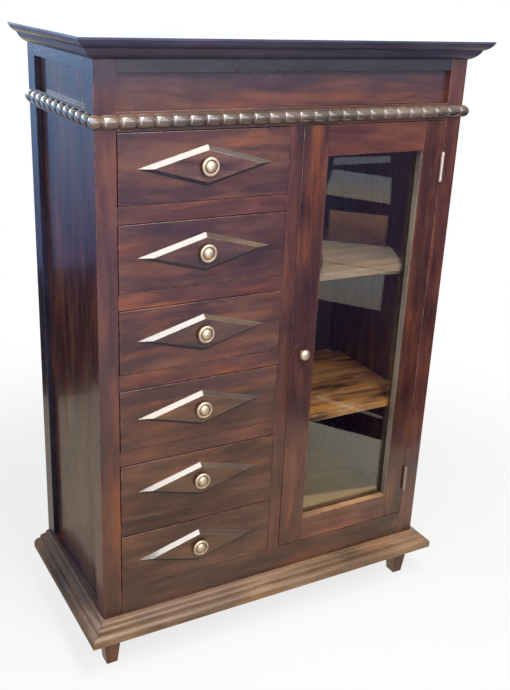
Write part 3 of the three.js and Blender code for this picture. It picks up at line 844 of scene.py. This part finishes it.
def fitted_knob(name, node, body, profile, seat, dirty, material, sides=48):
    """A turned knob on its seat, with dirt painted where dirty says so."""
    shape = turned(profile, seat, FORWARD, RIGHT, sides)
    layer = shape.verts.layers.float.new("grime")
    for vertex in shape.verts:
        along = (vertex.co - seat).dot(FORWARD)
        radius = (vertex.co - seat - FORWARD * along).length
        vertex[layer] = dirty(radius * 1000, along * 1000)
    shade(shape, 50)
    fitted(shape, name, body, material, (node,))


def lozenge_block(middle):
    """A raised lozenge with sloping sides, let a little into the drawer front."""
    shape = bmesh.new()
    long, high = LOZENGE_HALF_LENGTH, LOZENGE_HALF_HEIGHT
    points = [(-long, 0), (0, -high), (long, 0), (0, high)]
    corners = [shape.verts.new(middle + mm(x, LOZENGE_LET_IN, z)) for x, z in points]
    base = shape.faces.new(corners)
    for vertex in raised(shape, [base], mm(0, -LOZENGE_THICKNESS, 0)):
        vertex.co.x = middle.x + (vertex.co.x - middle.x) * LOZENGE_TOP_SHARE
        vertex.co.z = middle.z + (vertex.co.z - middle.z) * LOZENGE_TOP_SHARE
    bmesh.ops.recalc_face_normals(shape, faces=shape.faces)
    return shape


def make_drawers(knob_metal, box_woods):
    left, right = DRAWER_BAY
    # The downward slopes of the lozenges get a dark matt finish of their own: painted shade
    # beneath them
    underside = stained("lozenge_underside_painted_shade", "painted_shade_blue", LENGTH, gloss=0.2)
    grey_sheen_slope = wood("lozenge_slope_painted_sheen_grey", "pale", LENGTH, GREY_SHEEN_BOARD, shade_of=0.38)
    brown_sheen_slope = wood("lozenge_slope_painted_sheen_brown", "tan", LENGTH, BROWN_SHEEN_BOARD,
                       polish=0.35, shade_of=0.42)
    for number, lightness in enumerate(LOZENGE_SHADES, 1):
        body, node = f"drawer_{number}", f"drawer_front_{number}"
        floor = BAY_FLOOR + (DRAWER_COUNT - number) * DRAWER_STEP
        middle = mm((left + right) / 2, DRAWER_FACE, floor + DRAWER_BAY_HEIGHT / 2)
        low = mm(left + DRAWER_GAP, DRAWER_FACE, floor + DRAWER_GAP)
        high = mm(right - DRAWER_GAP, DRAWER_FACE + DRAWER_FRONT_THICKNESS,
                  floor + DRAWER_BAY_HEIGHT - DRAWER_GAP)
        front_wood = stained(f"drawer_front_wood_{number}", "dark", LENGTH)
        eased_piece(block(low, high), DRAWER_FRONT_ARRIS, f"front_of_drawer_{number}", body,
                    front_wood, (node,))

        shape = lozenge_block(middle)
        ease(shape, LOZENGE_ARRIS, steepest=15)
        shade(shape, 12)
        material = stained(f"lozenge_wood_{number}", "lozenge", LENGTH,
                           relief=0.3, polish=0.35, shade_of=lightness)
        name = f"lozenge_of_drawer_{number}"
        lozenge = fitted(shape, name, body, material, (node,))
        # Painted shade: the downward slopes take the dark matt finish
        further_finish(lozenge, underside, lambda turn: turn.z < -0.3)
        # Painted sheen: the upper-right slopes take a lighter wood
        further_finish(lozenge, grey_sheen_slope if number == 1 else brown_sheen_slope,
                       lambda turn: turn.z > 0.3 and turn.x > 0.05)

        seat = middle + mm(0, LOZENGE_LET_IN - LOZENGE_THICKNESS - FIT, 0)
        fitted_knob(f"knob_of_drawer_{number}", f"drawer_knob_{number}", body, KNOB_PROFILE,
                    seat, drawer_knob_dirt, knob_metal)
        make_drawer_box(number, body, *box_woods)


def make_drawer_box(number, body, side_wood, cross_wood):
    """The five boards of a drawer's box."""
    node = f"drawer_box_{number}"
    low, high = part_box(node)
    wall = mm(BOX_WALL)
    left, right, front, rear = low.x + wall, high.x - wall, low.y + wall, high.y - wall
    under, upper = (low.z + mm(level) for level in BOX_BOTTOM)
    boards = {
        "left_side": (low, (left, high.y, high.z), side_wood),
        "right_side": ((right, low.y, low.z), high, side_wood),
        "lining": ((left, low.y, low.z), (right, front, high.z), cross_wood),
        "tail": ((left, rear, low.z), (right, high.y, high.z), cross_wood),
        "bottom": ((left, front, under), (right, rear, upper), cross_wood),
    }
    for word, (start, end, material) in boards.items():
        eased_piece(block(Vector(start), Vector(end)), BOX_ARRIS, f"drawer_{number}_{word}",
                    body, material, (node,))


# ---- Door, its hinges and the pane ----


def make_door(knob_metal):
    for node, name, along, shade_of in (
        ("door_stile_closing", "closing_stile", HEIGHT, 0.87),
        ("door_stile_hinged", "hinged_stile", HEIGHT, 0.64),
        ("door_rail_top", "upper_door_rail", LENGTH, 1.05),
        ("door_rail_bottom", "lower_door_rail", LENGTH, 1.3),
    ):
        plank(node, name, "red", along, "wood_red", DOOR_ARRIS, "door", shade_of=shade_of)
    fitted_knob("knob_of_door", "door_knob", "door", DOOR_KNOB_PROFILE, mm(*DOOR_KNOB_PLACE),
                door_knob_dirt, knob_metal, 40)
    make_glazing_strips()
    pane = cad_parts["door_pane"]
    pane.data.materials.clear()
    pane.data.materials.append(window_glass())


def make_glazing_strips():
    """Slim strips round the opening, mitred at the corners, that hold the pane in its groove."""
    left, right, low, high = PANE_OPENING
    # The strips are one wood, stained by where light falls: the right one pale as a painted
    # reflection, the low one light tan as painted light from above, the left and high ones dark
    # red
    for word, edge, inward, stain, shade_of in (
        ("left", left, 1, "red", 0.7),
        ("right", right, -1, "pale", 0.5),
        ("low", low, 1, "tan", 1.6),
        ("high", high, -1, "red", 0.8),
    ):
        upright = word in ("left", "right")
        width = sorted((edge, edge + inward * STRIP_THICKNESS))
        (x0, x1), (z0, z1) = (width, (low, high)) if upright else ((left, right), width)
        shape = block(mm(x0, STRIP_FRONT, z0), mm(x1, STRIP_REAR, z1))
        for end, outward in zip((low, high) if upright else (left, right), (-1, 1)):
            corner, facing = (edge, 0, end), (inward, 0, outward)
            if not upright:
                corner, facing = corner[::-1], facing[::-1]
            cut_off(shape, mm(*corner), Vector(facing))
        material = stained(f"glazing_strip_wood_{word}", stain, HEIGHT if upright else LENGTH,
                           shade_of=shade_of)
        eased_piece(shape, ARRIS, f"glazing_strip_{word}", "door", material)


def screw_head(centre, outward):
    """A countersunk screw's flat head with its slot."""
    shape = bmesh.new()
    bmesh.ops.create_circle(shape, cap_ends=True, radius=mm(SCREW_RADIUS), segments=24)
    for side in (-1, 1):
        bmesh.ops.bisect_plane(
            shape,
            geom=shape.verts[:] + shape.edges[:] + shape.faces[:],
            plane_co=(0, side * mm(SCREW_SLOT_HALF), 0),
            plane_no=(0, side, 0),
        )
    raised(shape, shape.faces[:], (0, 0, mm(SCREW_THICKNESS)))
    slot = []
    for face in shape.faces:
        middle = face.calc_center_median()
        level = face.normal.z > 0.9 or middle.z > mm(0.9 * SCREW_THICKNESS)
        if level and abs(middle.y) < mm(0.1):
            slot.append(face)
    raised(shape, slot, (0, 0, -mm(SCREW_SLOT_DEPTH)))
    bmesh.ops.delete(shape, geom=slot, context="FACES_ONLY")
    bmesh.ops.recalc_face_normals(shape, faces=shape.faces)
    # Each screw stopped at an angle of its own
    stop = Matrix.Rotation(math.radians(35 + centre.z * 900), 4, "Z")
    turn = Vector((0, 0, 1)).rotation_difference(outward).to_matrix().to_4x4()
    matrix = Matrix.Translation(centre) @ turn @ stop
    bmesh.ops.transform(shape, matrix=matrix, verts=shape.verts)
    return shape


def make_hinges():
    axis_x, axis_y = HINGE_AXIS
    for word, middle in HINGE_MIDDLES.items():
        metal = brass(f"{word}_hinge_brass", *HINGE_BRASS[word])
        for half, body, side in (("fixed", "carcass", 1), ("door", "door", -1)):
            node = f"hinge_{word}_{half}_leaf"
            shape = merged_copy(node)
            ease(shape, LEAF_ARRIS, steepest=50)
            shade(shape, 30)
            fitted(shape, f"{word}_hinge_{half}_half", body, metal, (node,))
            for count, rise in enumerate(SCREW_RISES, 1):
                inward = SCREW_INWARD if rise else MIDDLE_SCREW_INWARD
                centre = mm(axis_x + side * SCREW_SEAT, FRONT + inward, middle + rise)
                head = screw_head(centre, RIGHT * -side)
                shade(head)
                fitted(head, f"{word}_hinge_{half}_screw_{count}", body, metal)
        for end, upward in (("top", 1), ("foot", -1)):
            centre = mm(axis_x, axis_y, middle + upward * HINGE_LENGTH / 2)
            tip = turned(PIN_TIP_PROFILE, centre, Vector((0, 0, upward)), RIGHT, 24)
            shade(tip, 50)
            fitted(tip, f"{word}_hinge_pin_{end}", "carcass", metal)


# ---- The room and the camera, in metres ----

CAMERA_PLACE = (-0.9954, -1.7769, 1.4622)
CAMERA_TURN = (68.360, -2.515, -29.021)  # degrees
CAMERA_LENS, CAMERA_SENSOR = 48.18, 36.0

# The floor as the varnish mirrors it
FLOOR_WORN, FLOOR_STAINED = (1.12, 0.93, 0.64), (0.78, 0.64, 0.45)
FLOOR_LEFT, FLOOR_RIGHT = (0.50, 0.43, 0.34), (1.20, 1.08, 0.92)
FLOOR_FAR_OFF = (0.62, 0.55, 0.98)

# The pane mirrors cards on a slanting plane before the door: each card's outline in metres along
# the plane and up, then its colours at the foot and at the top
PANE_PLANE_FOOT, PANE_PLANE_RUN = Vector((0.6777, -1.0133, 0)), Vector((0.5511, 0.8344, 0))
PANE_PLANE_NEARER = Vector((-0.8344, 0.5511, 0)) * 0.004
PANE_CARD_STRENGTH = 0.42
PANE_CARDS = (
    ("pale_card_ledge", [(0.013, 0.095), (0.26, 0.082), (0.26, 0.092), (0.013, 0.112)],
     (1.6, 1.4, 1.2), (1.6, 1.4, 1.2)),
    ("pale_card_low",
     [(-0.01, 0.463), (0.215, 0.466), (0.218, 0.587), (0.08, 0.55), (-0.01, 0.527)],
     (1.9, 1.62, 1.45), (1.85, 1.95, 2.2)),
    ("pale_card_fold", [(-0.01, 0.527), (0.08, 0.55), (0.27, 0.605), (0.0, 0.595)],
     (3.0, 2.4, 1.9), (3.6, 2.9, 2.0)),
    ("pale_card_middle",
     [(0.0, 0.598), (0.27, 0.608), (0.262, 0.65), (0.23, 0.685), (-0.012, 0.668)],
     (3.6, 2.7, 1.8), (2.2, 1.8, 1.8)),
    ("tan_card_upper", [(0.012, 0.672), (0.21, 0.688), (0.21, 0.783), (0.012, 0.773)],
     (0.9, 0.5, 0.75), (2.4, 1.35, 1.1)),
    ("grey_card", [(-0.012, 0.822), (0.213, 0.822), (0.209, 0.905), (0.011, 0.906)],
     (2.7, 2.2, 1.85), (2.0, 2.1, 2.5)),
    ("grey_card_top", [(0.01, 0.919), (0.2, 0.951), (0.2, 0.971), (0.012, 0.943)],
     (1.7, 1.7, 2.1), (1.7, 1.7, 2.1)),
)

# Upright cards across the room: distance, from and to along x, from and to in height,
# colours at the foot and at the top, and the width over which the sides fade out
BESIDE, IN_FRONT, BEHIND = 1.24, -3.0, 2.6
WALL_CARDS = (
    ("dark_wall_beside", BESIDE, (-2.6, -0.5), (0.0, 0.49),
     (0.02, 0.012, 0.02), (0.03, 0.02, 0.03), 0.0),
    ("blue_daylight_beside", BESIDE, (-2.6, -0.5), (0.49, 1.25),
     (0.16, 0.20, 0.42), (0.40, 0.68, 1.15), 0.0),
    ("bright_pane_beside", BESIDE, (-0.89, -0.3), (1.32, 1.5),
     (3.8, 4.8, 6.2), (3.8, 4.8, 6.2), 0.0),
    ("bright_window_beside", BESIDE, (-2.6, -0.9), (1.25, 1.5),
     (1.2, 2.0, 3.4), (1.5, 2.3, 3.6), 0.0),
    ("window_in_front", IN_FRONT, (-1.2, 2.1), (1.35, 2.9),
     (4.5, 4.8, 5.0), (5.5, 5.6, 5.6), 0.6),
    ("tall_window_in_front", IN_FRONT + 0.02, (-0.5, 0.06), (0.0, 2.8),
     (4.5, 4.6, 4.7), (11.0, 11.4, 11.8), 0.0),
    ("daylight_behind", BEHIND, (-0.1, 3.8), (1.25, 2.05),
     (1.50, 1.68, 1.72), (1.50, 1.68, 1.72), 0.3),
)

# Flat cards: corners in millimetres, and one colour
FLAT_CARDS = (
    ("tan_floor_board", [(290, -495, 3), (630, -495, 3), (650, -538, 4), (350, -588, 4)],
     (2.3, 1.6, 0.9)),
    ("window_light_on_floor",
     [(-380, -1100, 3), (-190, -1100, 3), (60, -2950, 4), (-500, -2950, 4)],
     (4.5, 4.5, 4.3)),
    ("ceiling_in_front",
     [(250, -1000, 2900), (600, -1000, 2900), (1200, -3000, 2900), (250, -3000, 2900)],
     (5.0, 5.0, 5.0)),
)


def make_camera():
    lens = bpy.data.cameras.new("photograph_view")
    lens.sensor_width = CAMERA_SENSOR
    lens.lens = CAMERA_LENS
    lens.clip_start = 0.05
    camera = bpy.data.objects.new("photograph_view", lens)
    camera.location = CAMERA_PLACE
    camera.rotation_euler = [math.radians(turn) for turn in CAMERA_TURN]
    bpy.context.scene.collection.objects.link(camera)
    bpy.context.scene.camera = camera


def make_floor():
    """White to the camera, with the cabinet's shadow; tan and stained to the varnish."""
    finish = Finish("studio_floor")
    place = finish.place()
    seen = finish.ray("Camera") + finish.ray("Transmission")
    grey = finish.mixed(seen, (0.42, 0.42, 0.42), (0.85, 0.85, 0.85))
    shadowed = finish.node("ShaderNodeBsdfDiffuse", {}, {"Color": grey})
    away = finish.node("ShaderNodeVectorMath", {"operation": "LENGTH"}, {0: place}, output="Value")
    whitened = seen * (away.between(0.7, 1.9) * 0.22 + 0.78)
    plain = finish.either(whitened, shadowed, finish.glow((1, 1, 1)))

    x, y = finish.part(place, "X"), finish.part(place, "Y")
    stains = finish.noise(place, 6.0, 2.0, 0.6).between(0.35, 0.68)
    mirrored = finish.mixed(stains, FLOOR_WORN, FLOOR_STAINED)
    mirrored = finish.mixed(x.between(-0.43, -0.38), FLOOR_LEFT, mirrored)
    mirrored = finish.mixed(x.between(0.45, 0.75), mirrored, FLOOR_RIGHT)
    mirrored = finish.mixed((0 - y).between(0.9, 2.6), mirrored, FLOOR_FAR_OFF)
    shader = finish.either(finish.ray("Glossy"), plain, finish.glow(mirrored))

    shape = bmesh.new()
    bmesh.ops.create_grid(shape, x_segments=2, y_segments=2, size=14.0)
    added("studio_floor", shape, finish.surface(shader))


def make_world():
    """White where it is seen or mirrored, and dim where it only lights."""
    world = bpy.data.worlds.new("studio")
    bpy.context.scene.world = world
    finish = Finish("studio", world)
    seen = finish.ray("Camera") + finish.ray("Glossy") + finish.ray("Transmission")
    dim, white = (
        finish.node("ShaderNodeBackground", {}, {"Color": four_parts(colour), "Strength": power})
        for colour, power in (((0.94, 0.97, 1.0), 0.32), ((1, 1, 1), 1.0))
    )
    finish.surface(finish.either(seen, dim, white))


def make_lamp(name, place, size, power, colour, aim=None):
    """A lamp that shines straight down, or at its aim."""
    lamp = bpy.data.lights.new(name, "AREA")
    lamp.shape = "RECTANGLE"
    lamp.size, lamp.size_y = size
    lamp.energy = power
    lamp.color = colour
    holder = bpy.data.objects.new(name, lamp)
    holder.location = place
    if aim:
        holder.rotation_euler = (Vector(aim) - Vector(place)).to_track_quat("-Z", "Y").to_euler()
    bpy.context.scene.collection.objects.link(holder)
    holder.visible_camera = False


def make_light():
    make_lamp("softbox_above", (-0.1, -2.1, 2.8), (0.6, 3.0), 91.0, (1.0, 0.985, 0.93))
    make_lamp("window_left", (-2.3, -1.7, 2.0), (1.3, 1.5), 27.0, (0.96, 0.98, 1.0),
              (-0.1, -0.2, 1.1))


def card(name, corners, low_colour, high_colour, strength=1.0, fade=0.0):
    """A board that only the varnish and the pane mirror, its colour changing from foot to top.

    With a fade, its sides go over into the white room along so many metres.
    """
    finish = Finish(name)
    place = finish.place()
    heights = [corner.z for corner in corners]
    rise = finish.part(place, "Z").between(min(heights), max(heights))
    colour = finish.mixed(rise, low_colour, high_colour)
    if fade:
        across = finish.part(place, "X")
        left, right = min(corner.x for corner in corners), max(corner.x for corner in corners)
        share = across.between(left, left + fade) * (1 - across.between(right - fade, right))
        colour = finish.mixed(share, (1.0, 1.0, 1.0), colour)
    shape = bmesh.new()
    shape.faces.new([shape.verts.new(corner) for corner in corners])
    board = added(name, shape, finish.surface(finish.glow(colour, strength)))
    board.visible_camera = board.visible_diffuse = False
    board.visible_transmission = board.visible_shadow = False


def on_pane_plane(points):
    return [PANE_PLANE_FOOT + PANE_PLANE_RUN * along + Vector((0, 0, up)) for along, up in points]


def make_cards():
    """The bright and dark patches that the pane and the varnish mirror."""
    card("dark_card", on_pane_plane([(-0.16, 0), (0.9, 0), (0.9, 1.12), (-0.16, 1.12)]),
         (0.03, 0.015, 0.04), (0.16, 0.12, 0.26))
    for name, points, low_colour, high_colour in PANE_CARDS:
        corners = [corner + PANE_PLANE_NEARER for corner in on_pane_plane(points)]
        card(name, corners, low_colour, high_colour, PANE_CARD_STRENGTH)
    for name, depth, (left, right), (low, high), low_colour, high_colour, fade in WALL_CARDS:
        rectangle = ((left, low), (right, low), (right, high), (left, high))
        corners = [Vector((x, depth, z)) for x, z in rectangle]
        card(name, corners, low_colour, high_colour, fade=fade)
    for name, corners, colour in FLAT_CARDS:
        card(name, [mm(*corner) for corner in corners], colour, colour)


def make_all():
    knob_metal = brass("knob_brass", *KNOB_BRASS)
    box_woods = (
        stained("drawer_side_wood", "plain", DEPTH, gloss=0.4),
        stained("drawer_cross_wood", "plain", LENGTH, gloss=0.4),
    )
    make_case()
    make_panels()
    make_bead_rails()
    make_drawers(knob_metal, box_woods)
    make_door(knob_metal)
    make_hinges()
    make_camera()
    make_floor()
    make_world()
    make_light()
    make_cards()


make_all()

bpy.context.scene.view_settings.view_transform = "Standard"
